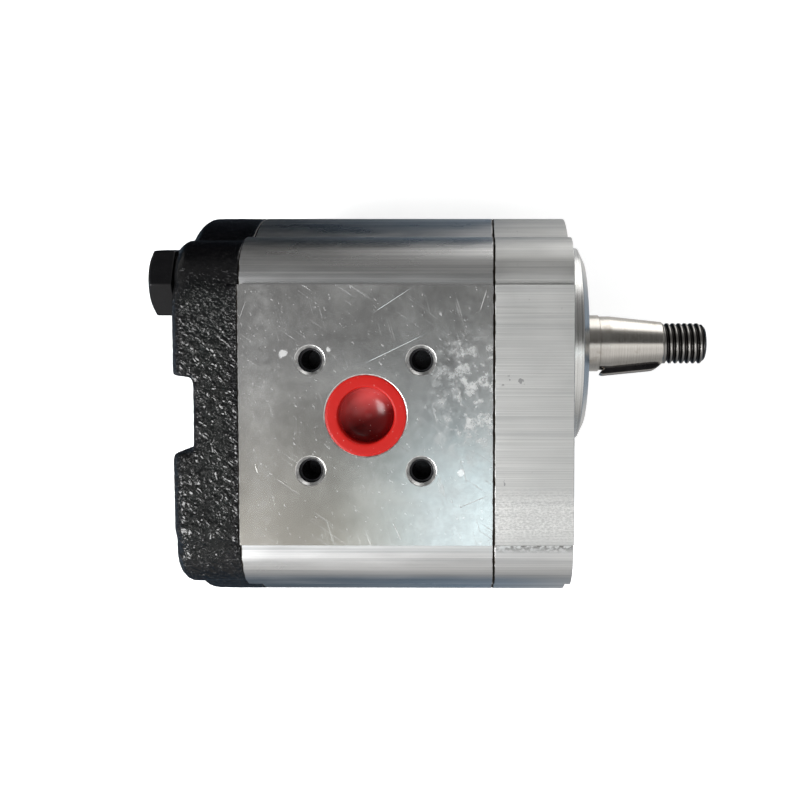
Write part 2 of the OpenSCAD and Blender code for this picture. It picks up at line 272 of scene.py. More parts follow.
def extruded_look(n):
    """Colour, roughness and height of an extruded aluminium surface, with lines along X."""
    lines = n.noise(n.mapped((10, 2600, 2600)), 1.0, 3, 0.6)
    drawn = n.noise(n.mapped((6, 420, 420)), 1.0, 2, 0.5)
    cloud = n.noise(n.mapped((25, 90, 90)), 1.0, 4, 0.6)
    colour = n.mix(n.ramp(lines, 0.35, 0.65), (0.62, 0.625, 0.63), (0.80, 0.80, 0.80))
    colour = n.mix(n.ramp(drawn, 0.52, 0.66, 0, 0.55), colour, (0.42, 0.43, 0.44))
    rough = n.ramp(cloud, 0.3, 0.7, 0.24, 0.4)
    height = n.math("ADD", n.times(lines, 0.5), n.times(drawn, 1.0))
    return colour, rough, height


def side_aluminium():
    """The body's extruded sides, with painted shade and a dark oily tint in the two seams."""
    n = Nodes("side_aluminium", 0.3, 1.0)
    colour, rough, height = extruded_look(n)
    # painted shade, tinted like oil, in the two seams
    dirt_and_shade = seam_dirt_and_shade(n, (rear_joint, front_joint))
    n.set(Base_Color=n.mix(dirt_and_shade, colour, OIL_AND_SHADE), Roughness=n.blend(dirt_and_shade, rough, 0.45))
    n.bump(height, 0.02, 0.7)
    return n.material


# Single scratches on the suction pad, from one point to another in XY, with their width, in millimetres
STROKES = [((-51.5, 7.9), (-40.3, 15.2), 0.11), ((-54.4, -5.2), (-37.0, 3.2), 0.10),
           ((-85.2, 6.4), (-83.3, 11.6), 0.12), ((-46.6, -45.0), (-43.9, -50.8), 0.13),
           ((-24.2, 8.3), (-22.2, 14.6), 0.12), ((-29.6, -41.6), (-22.0, -38.4), 0.08)]
# Pale blots on the pad: a point in XY and a radius, in millimetres
BLOTS = [((-74.2, -2.4), 1.2), ((-62.6, -1.2), 0.9), ((-28.9, -32.6), 1.0)]


def milled_aluminium():
    """The body's port pads: milled, then scratched and stained by handling."""
    n = Nodes("milled_aluminium", 0.25, 1.0)
    cloud = n.noise(n.mapped(), 40, 6, 0.68, 0.4)
    fine = n.noise(n.mapped(), 420, 4, 0.7)
    grain = n.noise(n.mapped((900, 1800, 900)), 1.0, 2, 0.6)
    colour = n.mix(n.ramp(cloud, 0.35, 0.66), (0.60, 0.60, 0.60), (0.78, 0.78, 0.775))
    colour = n.mix(n.ramp(grain, 0.3, 0.7, 0, 0.4), colour, (0.56, 0.56, 0.565))
    mottle = n.ramp(n.noise(n.mapped((1.3, 1, 1)), 250, 5, 0.78), 0.42, 0.62)
    colour = n.mix(n.times(mottle, 0.32), colour, (0.92, 0.92, 0.91))
    # painted reflection: a warm tint towards the lower left of the pad
    warm_reflection = n.times(n.ramp(n.y, -4 * MM, -45 * MM), n.ramp(n.x, -36 * MM, -60 * MM), 0.9)
    colour = n.mix(warm_reflection, colour, (0.74, 0.71, 0.64))

    # white oxide where the pad was handled, towards the front cover, and a pale band at the other end
    bloom = n.noise(n.mapped((1, 0.85, 1), 0, (0.3, 0, 0)), 380, 6, 0.72, 0.25)
    middle = n.ramp(n.away(n.y, -13 * MM), 8 * MM, 19 * MM, 1, 0)
    pale = n.times(n.ramp(bloom, 0.48, 0.66), n.ramp(n.x, -41 * MM, -27 * MM), middle, 0.7)
    band = n.times(n.near(n.x, -80 * MM, 1.5 * MM, 3 * MM), n.ramp(fine, 0.4, 0.65), 0.2)
    specks = n.ramp(n.noise(n.turned(0.9, (760, 1400, 1000), 5.0), 1.0, 3, 0.6), 0.655, 0.70, 0, 0.6)
    marks = n.most(pale, band, specks)
    for centre, reach in BLOTS:
        marks = n.most(marks, n.spot(centre, reach, fine))
    scratched = n.times(n.most(n.hairs(0.6, 1.0), n.hairs(1.3, 3.0)), 0.5)
    for stroke in STROKES:
        scratched = n.most(scratched, n.stroke(*stroke))
    # painted shade, tinted like oil, in the two seams
    dirt_and_shade = seam_dirt_and_shade(n, (rear_joint, front_joint))
    white = n.most(marks, n.times(scratched, 0.8))
    colour = n.mix(white, colour, (0.92, 0.93, 0.93))
    rough = n.blend(pale, n.ramp(cloud, 0.35, 0.65, 0.16, 0.24), 0.45)
    n.set(Base_Color=n.mix(dirt_and_shade, colour, OIL_AND_SHADE), Roughness=n.blend(dirt_and_shade, rough, 0.45),
          Metallic=n.ramp(white, 0, 1, 1.0, 0.4))
    n.bump(n.math("SUBTRACT", n.times(fine, 0.25), n.times(scratched, 0.8)), 0.02, 0.7)
    return n.material


def shaded_bore():
    """Tapped holes and bores in the body, painted nearly black as shade."""
    n = Nodes("shaded_bore", 0.35, 0.6)
    bore_mottle = n.noise(n.mapped(), 600, 2)
    # painted shade: the colour of the bores is nearly black
    n.set(Base_Color=n.mix(bore_mottle, (0.012, 0.012, 0.014), (0.05, 0.05, 0.055)),
          Roughness=n.ramp(bore_mottle, 0.3, 0.7, 0.25, 0.45))
    return n.material


def countersunk():
    """The mouths of the tapped holes. On the suction side, painted shade darkens the inner edge of each cone,
    where the first thread cuts in.
    """
    n = Nodes("countersunk", 0.35, 1.0)
    off_x = n.math("SUBTRACT", n.away(n.x, port_x), HOLE_STEP)
    off_y = n.math("SUBTRACT", n.away(n.y, pump_y), HOLE_STEP)
    # painted shade: a dark ring at the inner edge of each cone on the suction side
    thread = n.times(n.ramp(n.radius(off_x, off_y), 2.95 * MM, 2.8 * MM), n.ramp(n.z, 0, 1 * MM))
    worn = n.noise(n.mapped(), 900, 2)
    colour = n.mix(n.ramp(worn, 0.35, 0.65), (0.55, 0.55, 0.55), (0.85, 0.85, 0.84))
    n.set(Base_Color=n.mix(thread, colour, (0.01, 0.01, 0.012)),
          Roughness=n.ramp(worn, 0.3, 0.7, 0.3, 0.45))
    return n.material


def extruded_aluminium():
    """The front cover's flats and upper side: a dull brushed extrusion."""
    n = Nodes("extruded_aluminium", 0.45, 0.95)
    lines = n.noise(n.mapped((14, 3400, 3400)), 1.0, 3, 0.65)
    broad = n.noise(n.mapped((9, 520, 520)), 1.0, 2, 0.5)
    cloud = n.noise(n.mapped((60, 60, 60)), 1.0, 5, 0.6)
    colour = n.mix(n.ramp(lines, 0.3, 0.7), (0.52, 0.525, 0.52), (0.74, 0.74, 0.73))
    colour = n.mix(n.ramp(broad, 0.55, 0.65, 0, 0.3), colour, (0.44, 0.445, 0.45))
    bloom = n.noise(n.mapped((1, 1.8, 1)), 1300, 4, 0.7)
    bloom = n.times(n.ramp(bloom, 0.42, 0.62), n.near(n.y, -44 * MM, 3 * MM, 5 * MM), 0.75)
    specks = n.noise(n.mapped((1, 0.7, 1)), 520, 2)
    specks = n.times(n.ramp(specks, 0.70, 0.72), n.ramp(cloud, 0.45, 0.55), 0.7)
    colour = n.mix(bloom, colour, (0.97, 0.97, 0.96))
    colour = n.mix(specks, colour, (0.25, 0.25, 0.26))
    # painted shade, tinted like oil, in the seam
    dirt_and_shade = seam_dirt_and_shade(n, (front_joint,))
    rough = n.ramp(cloud, 0.35, 0.65, 0.42, 0.55)
    n.set(Base_Color=n.mix(dirt_and_shade, colour, OIL_AND_SHADE), Roughness=n.blend(dirt_and_shade, rough, 0.5))
    n.bump(n.math("ADD", lines, n.times(broad, 0.5)), 0.035, 0.8)
    return n.material


def corner_shaded_aluminium():
    """The front cover's smooth lower side, with painted shade in the corner below the suction side's flat."""
    n = Nodes("corner_shaded_aluminium", 0.3, 1.0)
    colour, rough, height = extruded_look(n)
    # painted shade: a dark, frayed band and line just below the edge of the suction side's flat, and in the
    # seam
    shade_fray = n.noise(n.mapped((1, 1.6, 1)), 900, 3, 0.6)
    below = n.math("SUBTRACT", pump_y - FLAT_HALF, n.y)
    flat_edge_shade = n.times(n.ramp(below, 2.6 * MM, 0.3 * MM), n.ramp(n.math("ABSOLUTE", below), 5 * MM, 4 * MM),
                    n.ramp(shade_fray, 0.42, 0.56))
    edge = n.near(below, 0.15 * MM, 0.2 * MM, 0.15 * MM)
    corner = n.times(n.most(n.times(flat_edge_shade, 0.8), edge), n.ramp(n.z, 0, 1 * MM))
    dirt_and_shade = n.most(seam_dirt_and_shade(n, (front_joint,)), corner)
    n.set(Base_Color=n.mix(dirt_and_shade, colour, OIL_AND_SHADE), Roughness=n.blend(dirt_and_shade, rough, 0.5))
    n.bump(height, 0.02, 0.7)
    return n.material


def turned_aluminium():
    """The front cover's mounting face and pilot, with fine turning marks round the shaft."""
    n = Nodes("turned_aluminium", 0.2, 1.0)
    rings = n.noise(n.rings(), 1.0, 2, 0.6)
    n.set(Base_Color=n.mix(n.ramp(rings, 0.35, 0.65), (0.70, 0.70, 0.69), (0.86, 0.86, 0.85)),
          Roughness=n.ramp(rings, 0.3, 0.7, 0.16, 0.26))
    n.bump(rings, 0.012, 0.7)
    return n.material


def black_casting():
    """The rear cover's gloss paint over a rough casting, smoother on its upper side."""
    n = Nodes("black_casting", 0.2)
    peel = n.noise(n.turned(0.5, (900, 1500, 1200), 1.0), 1.0, 2.0, 0.55, 0.7)
    coarse = n.noise(n.turned(0.6, (380, 620, 500), 2.0), 1.0, 1.0, 0.5, 0.6)
    low = n.ramp(n.y, 14 * MM, -6 * MM)
    top = n.ramp(n.y, 13 * MM, 22 * MM, 0.13, 0.02)
    pores = n.noise(n.mapped(), 2600, 2, 0.5)
    n.set(Base_Color=n.mix(n.ramp(pores, 0.4, 0.7), (0.002, 0.002, 0.0025), (0.006, 0.006, 0.007)),
          Roughness=n.ramp(pores, 0.35, 0.65, 0.08, 0.15))
    lumps = n.times(n.ramp(peel, 0.50, 0.72), n.math("MAXIMUM", top, n.times(low, 0.24)))
    n.bump(n.math("ADD", lumps, n.times(n.ramp(coarse, 0.45, 0.75), low, 0.3)), 1.0, 1.0)
    return n.material


def black_bolt():
    """The bolts and washers, painted with the cover."""
    n = Nodes("black_bolt", 0.2)
    skin = n.noise(n.mapped(), 500, 2)
    n.set(Base_Color=n.mix(skin, (0.002, 0.002, 0.003), (0.006, 0.006, 0.007)),
          Roughness=n.ramp(skin, 0.3, 0.7, 0.08, 0.16))
    n.bump(skin, 0.08, 0.5)
    return n.material


def steel_look(n):
    """Colour, roughness and height of turned and ground steel."""
    turning = n.noise(n.rings(), 1.0, 2, 0.6)
    colour = n.mix(n.ramp(turning, 0.35, 0.65), (0.55, 0.525, 0.49), (0.66, 0.635, 0.60))
    return colour, n.ramp(turning, 0.3, 0.7, 0.15, 0.24), turning


def ground_steel():
    n = Nodes("ground_steel", 0.2, 1.0)
    colour, rough, turning = steel_look(n)
    n.set(Base_Color=colour, Roughness=rough)
    n.bump(turning, 0.006, 0.4)
    return n.material


def shaft_steel(thread_start):
    """The drive shaft: ground taper, and a dark oxide thread whose crests are rubbed bright."""
    n = Nodes("shaft_steel", 0.2, 1.0)
    colour, rough, turning = steel_look(n)
    smudge = n.noise(n.mapped((1, 1, 1), 0, (0.1, 0.2, 0)), 260, 4, 0.6)
    colour = n.mix(n.ramp(smudge, 0.56, 0.68, 0, 0.45), colour, (0.40, 0.36, 0.31))
    thread = n.ramp(n.x, thread_start - 0.15 * MM, thread_start + 0.1 * MM)
    crest = n.ramp(n.radius(n.y, n.z), THREAD_RADIUS - 0.16 * MM, THREAD_RADIUS - 0.02 * MM)
    end = n.ramp(n.x, shaft_high.x - 0.5 * MM, shaft_high.x - 0.3 * MM)
    bare = n.math("MAXIMUM", n.times(crest, 0.42), n.times(end, 0.3))
    thread_colour = n.mix(bare, (0.045, 0.042, 0.04), (0.72, 0.70, 0.67))
    n.set(Base_Color=n.mix(thread, colour, thread_colour), Roughness=n.blend(thread, rough, 0.3))
    n.bump(turning, 0.006, 0.4)
    return n.material


def key_steel():
    n = Nodes("key_steel", 0.3, 1.0)
    grain = n.noise(n.mapped(), 400, 3)
    n.set(Base_Color=n.mix(grain, (0.035, 0.033, 0.035), (0.08, 0.075, 0.078)),
          Roughness=n.ramp(grain, 0.3, 0.7, 0.25, 0.4))
    n.bump(grain, 0.01, 0.4)
    return n.material


def bearing_alloy():
    n = Nodes("bearing_alloy", 0.4, 1.0)
    grain = n.noise(n.mapped(), 300, 3)
    n.set(Base_Color=n.mix(grain, (0.5, 0.5, 0.49), (0.62, 0.62, 0.6)))
    return n.material


def bush_bronze():
    n = Nodes("bush_bronze", 0.35, 1.0)
    grain = n.noise(n.mapped(), 500, 3)
    n.set(Base_Color=n.mix(grain, (0.5, 0.32, 0.2), (0.62, 0.44, 0.3)))
    return n.material


def soft_rubber(name, colour):
    n = Nodes(name, 0.55)
    grain = n.noise(n.mapped(), 300, 3)
    n.set(Base_Color=n.mix(grain, colour, tuple(c * 1.5 for c in colour)),
          Roughness=n.ramp(grain, 0.3, 0.7, 0.45, 0.6))
    return n.material


def red_plastic():
    """Polyethylene: bright on the solid rim; in the cup, painted shade that darkens with depth, and painted
    light on the floor towards its upper left.
    """
    n = Nodes("red_plastic", 0.33)
    wave = n.noise(n.mapped(), 120, 3)
    dust = n.noise(n.mapped(), 1500, 2)
    # painted shade: the cup grows darker with depth
    cup_depth_shade = n.ramp(n.math("ABSOLUTE", n.z), pad_z - 0.9 * MM, pad_z - 3.2 * MM)
    beside = n.math("SUBTRACT", n.y, pump_y)
    corner = n.math("SUBTRACT", beside, n.math("SUBTRACT", n.x, port_x))
    # painted light: the cup's floor is bright towards its upper left and nearly black elsewhere
    lit = n.ramp(n.math("ADD", corner, beside), -4 * MM, 9 * MM)
    floor = n.mix(lit, (0.02, 0.001, 0.002), (0.56, 0.075, 0.075))
    rim = n.mix(wave, (0.54, 0.010, 0.007), (0.61, 0.014, 0.010))
    colour = n.mix(n.times(cup_depth_shade, 0.86), rim, floor)
    colour = n.mix(n.ramp(dust, 0.70, 0.74, 0, 0.5), colour, (0.8, 0.5, 0.48))
    n.set(Base_Color=colour, Roughness=n.blend(cup_depth_shade, 0.36, 0.22), Specular_IOR_Level=0.31,
          Subsurface_Weight=0.08, Subsurface_Scale=0.0015)
    n.shader.inputs["Subsurface Radius"].default_value = (1.0, 0.2, 0.1)
    n.bump(n.noise(n.mapped(), 500, 2), 0.03, 0.3)
    return n.material


THREAD_LENGTH = 12.6 * MM
THREAD_RADIUS = 6 * MM
thread_start = shaft_high.x - THREAD_LENGTH

MATERIALS = {
    "extruded_aluminium": extruded_aluminium(),
    "milled_aluminium": milled_aluminium(),
    "black_casting": black_casting(),
    "black_bolt": black_bolt(),
    "ground_steel": ground_steel(),
    "key_steel": key_steel(),
    "bearing_alloy": bearing_alloy(),
    "bush_bronze": bush_bronze(),
    "seal_rubber": soft_rubber("seal_rubber", (0.015, 0.015, 0.015)),
    "lip_rubber": soft_rubber("lip_rubber", (0.12, 0.045, 0.02)),
    "backup_plastic": soft_rubber("backup_plastic", (0.5, 0.48, 0.42)),
    "red_plastic": red_plastic(),
}
SHAFT_STEEL = shaft_steel(thread_start)
# the third zone, the bores, is painted nearly black as shade
BODY_ZONES = [MATERIALS["milled_aluminium"], side_aluminium(), shaded_bore(), countersunk()]
# the last zone carries painted shade below the suction side's flat
COVER_ZONES = [MATERIALS["extruded_aluminium"], turned_aluminium(), corner_shaded_aluminium()]


def paint_nodes():
    """Gives every CAD node the material of its record slot."""
    for part in frame["record"]["subparts"]:
        mesh = nodes[part["node"]].data
        mesh.materials.clear()
        mesh.materials.append(MATERIALS[part["material_slot"]])


paint_nodes()


# ---------------------------------------------------------------- pieces that replace CAD nodes
def clean_copy(name):
    """A new mesh with a CAD node's shape, its seams merged and its flat faces whole."""
    mesh = bmesh.new()
    mesh.from_mesh(nodes[name].data)
    bmesh.ops.remove_doubles(mesh, verts=mesh.verts, dist=1e-6)
    bmesh.ops.dissolve_limit(mesh, angle_limit=math.radians(0.6), verts=mesh.verts, edges=mesh.edges)
    return mesh


def new_piece(name, mesh, body, node, slot, materials=None):
    """Turns a bmesh into an object that rides on a body and stands for a CAD node."""
    data = bpy.data.meshes.new(name)
    mesh.to_mesh(data)
    mesh.free()
    obj = bpy.data.objects.new(name, data)
    bpy.context.scene.collection.objects.link(obj)
    for material in materials or [MATERIALS[slot]]:
        data.materials.append(material)
    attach(obj, body)
    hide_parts(node)
    return obj


def smooth_step(value, low, high):
    t = min(1.0, max(0.0, (value - low) / (high - low)))
    return t * t * (3 - 2 * t)


def smooth(obj, sharp=None):
    """Smooth shading but at the edges sharper than an angle in degrees, or else at those already marked."""
    for face in obj.data.polygons:
        face.use_smooth = True
    if sharp is not None:
        obj.data.set_sharp_from_angle(angle=math.radians(sharp))


def shade(obj, sharp=None):
    """The same, with the flat faces left flat."""
    smooth(obj, sharp)
    flat = obj.modifiers.new("shading", "WEIGHTED_NORMAL")
    flat.weight = 90
    flat.keep_sharp = True


# ---------------------------------------------------------------- machined parts with broken edges
BROKEN_ANGLE = math.radians(30)  # edges sharper than this are rounded
SHADED_ANGLE = math.radians(40)  # and any left that are sharper than this are shaded as edges
SKIM = 0.02 * MM  # keeps a face on a flat apart from the faces just below it
FRONT_X = -0.3 * MM  # faces ahead of this are the front cover's turned front


def faces_front(face):
    """True for the flat faces on the front of the front cover."""
    return face.normal.x > 0.9999 and face.calc_center_median().x > FRONT_X


def break_edges(mesh, width_of):
    """Rounds each sharp edge by the width in metres that width_of gives for it, widest first, and marks the
    borders of the rounded strips, so that the shading of the faces beside them stays flat."""
    groups = {}
    strips = set()
    for edge in mesh.edges:
        if edge.is_manifold and edge.calc_face_angle() > BROKEN_ANGLE:
            groups.setdefault(width_of(edge), []).append(edge)
    for width in sorted(groups, reverse=True):
        chosen = [edge for edge in groups[width] if edge.is_valid]
        if width > 0 and chosen:
            result = bmesh.ops.bevel(mesh, geom=chosen, offset=width, segments=3, profile=0.5,
                                     affect="EDGES", clamp_overlap=False, miter_outer="ARC")
            strips.update(result["faces"])
    strips = {face for face in strips if face.is_valid}
    for edge in mesh.edges:
        border = len(strips.intersection(edge.link_faces)) == 1
        rim = len({faces_front(face) for face in edge.link_faces}) == 2
        edge.smooth = not (border or rim) and edge.calc_face_angle(0) < SHADED_ANGLE


def at_joint(edge):
    """True for the outer edges in a plane where a cover meets the body."""
    for joint in (rear_joint, front_joint):
        if all(abs(v.co.x - joint) < 1e-6 for v in edge.verts):
            return True
    return False


def make_machined(name, node, slot, joint_width, width, materials=None, zone=None):
    """A CAD node on the housing with its edges broken. zone gives a face's place among the materials."""
    mesh = clean_copy(node)
    break_edges(mesh, lambda edge: joint_width if at_joint(edge) else width)
    if zone:
        for face in mesh.faces:
            face.material_index = zone(face)
    shade(new_piece(name, mesh, "housing", node, slot, materials))


PORT_REACH = 21 * MM  # from a port's centre past its four tapped holes
CONE_DEPTH = 0.85 * MM  # how deep the cones at the holes' mouths go


def body_zone(face):
    """0 on the milled pads, 1 on the sides, 2 in the bores, 3 on the cones at their mouths."""
    middle = face.calc_center_median()
    if abs(middle.z) > pad_z - SKIM:
        return 0
    if abs(middle.x - port_x) < PORT_REACH and abs(middle.y - pump_y) < PORT_REACH:
        return 3 if abs(middle.z) > pad_z - CONE_DEPTH else 2
    return 1


def cover_zone(face):
    """0 on the front cover's dull flats and upper side, 1 on its turned front, 2 on its lower side."""
    middle = face.calc_center_median()
    if middle.x > FRONT_X:
        return 1
    return 2 if abs(middle.z) < cover_flat_z - SKIM and middle.y < pump_y else 0


def make_key():
    """The Woodruff key, with its two outer corners well rounded and its upward-facing slanted faces given
    bright steel as a painted highlight.
    """
    mesh = clean_copy("woodruff_key")
    outer = min(v.co.y for v in mesh.verts) + 1.2 * MM

    def width_of(edge):
        across = abs(edge.verts[0].co.z - edge.verts[1].co.z) > 3 * MM
        return 1.3 * MM if across and all(v.co.y < outer for v in edge.verts) else 0.3 * MM

    break_edges(mesh, width_of)
    # painted highlight: slanted faces that face upwards get the bright ground steel
    for face in mesh.faces:
        slanted = max(abs(part) for part in face.normal) < 0.93
        face.material_index = 1 if slanted and face.normal.z > 0.1 else 0
    shade(new_piece("fitted_woodruff_key", mesh, "drive_rotor", "woodruff_key", "key_steel",
                    [MATERIALS["key_steel"], MATERIALS["ground_steel"]]))


def make_machined_parts():
    make_machined("machined_pump_body", "pump_body", "milled_aluminium", SEAM, 0.12 * MM,
                  materials=BODY_ZONES, zone=body_zone)
    make_machined("machined_front_cover", "front_cover", "extruded_aluminium", SEAM, 0.16 * MM,
                  materials=COVER_ZONES, zone=cover_zone)
    make_key()
    for place in ("upper", "lower"):
        make_machined(f"forged_bolt_{place}", f"assembly_bolt_{place}", "black_bolt", 0, 0.35 * MM)
        make_machined(f"rounded_washer_{place}", f"bolt_washer_{place}", "black_bolt", 0, 0.2 * MM)


# ---------------------------------------------------------------- cast rear cover
CAST_VOXEL = 0.5 * MM
CAST_ROUNDING_PASSES = 26
CAST_STEP_PASSES = 90  # more rounding for the low step beside each flat
CAST_GRAIN = 0.09 * MM
CAST_WAVE = 0.10 * MM
CAST_EDGE = 0.9 * MM  # the edges this close to the machined joint stay sharp
STEP_REACH = 4 * MM
STEP_LOW = 34 * MM


def make_cast_cover():
    """The rear cover as a casting: rounded edges everywhere but at the machined joint, and a rough skin."""
    obj = new_piece("cast_rear_cover", clean_copy("rear_cover"), "housing", "rear_cover", "black_casting")
    remesh = obj.modifiers.new("voxels", "REMESH")
    remesh.mode = "VOXEL"
    remesh.voxel_size = CAST_VOXEL
    remesh.use_smooth_shade = True
    graph = bpy.context.evaluated_depsgraph_get()
    fine = bpy.data.meshes.new_from_object(obj.evaluated_get(graph))
    obj.modifiers.clear()
    old = obj.data
    obj.data = fine
    bpy.data.meshes.remove(old)

    mesh = bmesh.new()
    mesh.from_mesh(fine)
    free = [v for v in mesh.verts if v.co.x < rear_joint - CAST_EDGE]
    for _ in range(CAST_ROUNDING_PASSES):
        bmesh.ops.smooth_vert(mesh, verts=free, factor=0.5, use_axis_x=True, use_axis_y=True,
                              use_axis_z=True)
    step = [v for v in free
            if abs(abs(v.co.y - pump_y) - FLAT_HALF) < STEP_REACH and abs(v.co.z) > STEP_LOW]
    for _ in range(CAST_STEP_PASSES):
        bmesh.ops.smooth_vert(mesh, verts=step, factor=0.5, use_axis_x=False, use_axis_y=False,
                              use_axis_z=True)
    mesh.normal_update()
    moves = []
    for v in mesh.verts:
        skin = smooth_step(rear_joint - v.co.x, 0.4 * MM, 2.5 * MM)
        grain = noise.noise(v.co * 620) + 0.6 * noise.noise(v.co * 1150 + Vector((7, 1, 3)))
        wave = noise.noise(v.co * 95 + Vector((3, 5, 8)))
        moves.append(v.normal * skin * (grain * CAST_GRAIN + wave * CAST_WAVE))
    for v, move in zip(mesh.verts, moves):
        v.co += move
        v.co.x = min(v.co.x, rear_joint)
    for face in mesh.faces:
        face.smooth = True
    mesh.to_mesh(fine)
    mesh.free()


# ---------------------------------------------------------------- turned and moulded parts
SIDES = 160  # round each turned or moulded part


def lathe(outline, place):
    """A solid of revolution from (radius, distance) points whose first and last lie on the axis.
    place gives a point's position from its radius, distance and angle."""
    mesh = bmesh.new()
    rings = []
    for radius, along in outline:
        count = SIDES if radius > 0 else 1
        rings.append([mesh.verts.new(place(radius, along, 2 * math.pi * k / SIDES)) for k in range(count)])
    for near, far in zip(rings, rings[1:]):
        for k in range(SIDES):
            j = (k + 1) % SIDES
            corners = (near[k % len(near)], near[j % len(near)], far[j % len(far)], far[k % len(far)])
            mesh.faces.new(list(dict.fromkeys(corners)))
    bmesh.ops.recalc_face_normals(mesh, faces=mesh.faces)
    return mesh


def subdivided(outline, step):
    """The same outline with points no further apart than step."""
    points = [outline[0]]
    for (r0, a0), (r1, a1) in zip(outline, outline[1:]):
        count = max(1, math.ceil(math.hypot(r1 - r0, a1 - a0) / step))
        points += [(r0 + (r1 - r0) * i / count, a0 + (a1 - a0) * i / count) for i in range(1, count + 1)]
    return points


# The plug's dished floor outside its middle: (share of the cup's radius, depth in millimetres)
PLUG_DISH = [(0.35, 5.85), (0.5, 5.6), (0.64, 5.2), (0.76, 4.7), (0.86, 4.1), (0.93, 3.4),
             (0.965, 2.8), (0.98, 2.2)]


def make_plug(name, body, node, bore_r, side):
    """A moulded transit plug: a solid rim round a dished cup, hollow underneath. The bore's radius and the
    outlines are in millimetres, as (radius, depth below the pad). side is 1 for +Z."""
    r = bore_r - 0.05
    cup = r - 2.75
    dish = [(0, 5.9), (0.4, 5.91), (0.8, 5.98), (1.2, 6.0)]
    dish += [(cup * share, depth) for share, depth in PLUG_DISH]
    rim = [(cup, 0.6), (cup + 0.06, 0.3), (cup + 0.2, 0.1), (cup + 0.42, 0), (cup + 0.8, -0.03),
           (r - 0.4, -0.03), (r + 0.25, 0), (r + 0.38, 0.06), (r + 0.42, 0.2), (r + 0.3, 0.32), (r, 0.6)]
    foot = [(r, 11), (r - 0.1, 11.2), (r - 0.8, 12), (r - 1.4, 12), (cup - 0.4, 11.8), (cup - 0.4, 8),
            (cup - 0.6, 7.7), (cup - 0.9, 7.6), (0, 7.6)]
    top = pad_z - 0.1 * MM

    def place(radius, depth, angle):
        reach = radius * MM
        return port_x + reach * math.cos(angle), pump_y + reach * math.sin(angle), side * (top - depth * MM)

    shade(new_piece(name, lathe(dish + rim + foot, place), body, node, "red_plastic"), 50)


# The nose of the drive shaft, from inside the seal to the end of its taper: (radius, X) in millimetres
NOSE_START = 3.0
NOSE = [(9.0, NOSE_START), (9.0, 4.5), (8.35, 5.15), (8.35, 10.8), (8.0, 11.0), (8.0, 14.2),
        (6.36, 29.5), (6.2, 29.7), (6.0, 29.8)]
THREAD_PITCH = 1.75 * MM
THREAD_DEPTH = 0.42 * THREAD_PITCH
THREAD_STEP = 0.125 * MM
END_CHAMFER = 1.1 * MM
CENTRE_HOLE_R = 1.6 * MM
CENTRE_HOLE = [(1, 0), (0.4, 1), (0.38, 3), (0, 3.2)]  # (radius, depth), both in centre hole radii


def thread_radius(x, angle):
    """Radius of the right-hand thread at one place, with its run-out and its chamfered end."""
    phase = (x - thread_start) / THREAD_PITCH - angle / (2 * math.pi)
    away = abs(phase % 1.0 - 0.5) * 2  # 1 on the crest, 0 in the root
    cut = min(1.0, max(0.0, (0.72 - away) / 0.56))
    cut *= smooth_step(x, thread_start + 0.1 * MM, thread_start + 0.9 * MM)
    chamfer = THREAD_RADIUS - END_CHAMFER + (shaft_high.x - x)
    return min(THREAD_RADIUS - THREAD_DEPTH * cut, chamfer)


def without_key(mesh):
    """The same solid with the key's seat cut out of it."""
    data = bpy.data.meshes.new("uncut nose")
    mesh.to_mesh(data)
    mesh.free()
    obj = bpy.data.objects.new("uncut nose", data)
    bpy.context.scene.collection.objects.link(obj)
    cut = obj.modifiers.new("key seat", "BOOLEAN")
    cut.operation = "DIFFERENCE"
    cut.solver = "EXACT"
    cut.object = nodes["woodruff_key"]
    graph = bpy.context.evaluated_depsgraph_get()
    seated = bpy.data.meshes.new_from_object(obj.evaluated_get(graph))
    bpy.data.objects.remove(obj)
    bpy.data.meshes.remove(data)
    return seated


def make_drive_shaft():
    """The drive shaft with a turned nose, its key seat and a real helical thread."""
    outline = [(0, NOSE_START * MM)] + subdivided([(r * MM, x * MM) for r, x in NOSE], 0.4 * MM)
    first = outline[-1][1]
    steps = math.ceil((shaft_high.x - first) / THREAD_STEP)
    outline += [(THREAD_RADIUS, first + (shaft_high.x - first) * i / steps) for i in range(1, steps + 1)]
    outline += [(CENTRE_HOLE_R * radius, shaft_high.x - CENTRE_HOLE_R * depth)
                for radius, depth in CENTRE_HOLE]

    def place(radius, x, angle):
        if radius > 2 * CENTRE_HOLE_R and x > first:
            radius = thread_radius(x, angle)
        return x, radius * math.cos(angle), radius * math.sin(angle)

    nose = without_key(lathe(outline, place))
    mesh = clean_copy("drive_gear_shaft")
    whole = mesh.verts[:] + mesh.edges[:] + mesh.faces[:]
    bmesh.ops.bisect_plane(mesh, geom=whole, plane_co=(NOSE_START * MM, 0, 0), plane_no=(1, 0, 0),
                           clear_outer=True)
    bmesh.ops.edgeloop_fill(mesh, edges=[edge for edge in mesh.edges if edge.is_boundary])
    mesh.from_mesh(nose)
    bpy.data.meshes.remove(nose)
    smooth(new_piece("threaded_drive_shaft", mesh, "drive_rotor", "drive_gear_shaft", "ground_steel",
                     [SHAFT_STEEL]), 28)


make_machined_parts()
make_cast_cover()
make_plug("moulded_suction_plug", "suction_transit_plug", "suction_plug", 10.0, 1)
make_plug("moulded_pressure_plug", "pressure_transit_plug", "pressure_plug", 7.5, -1)
make_drive_shaft()


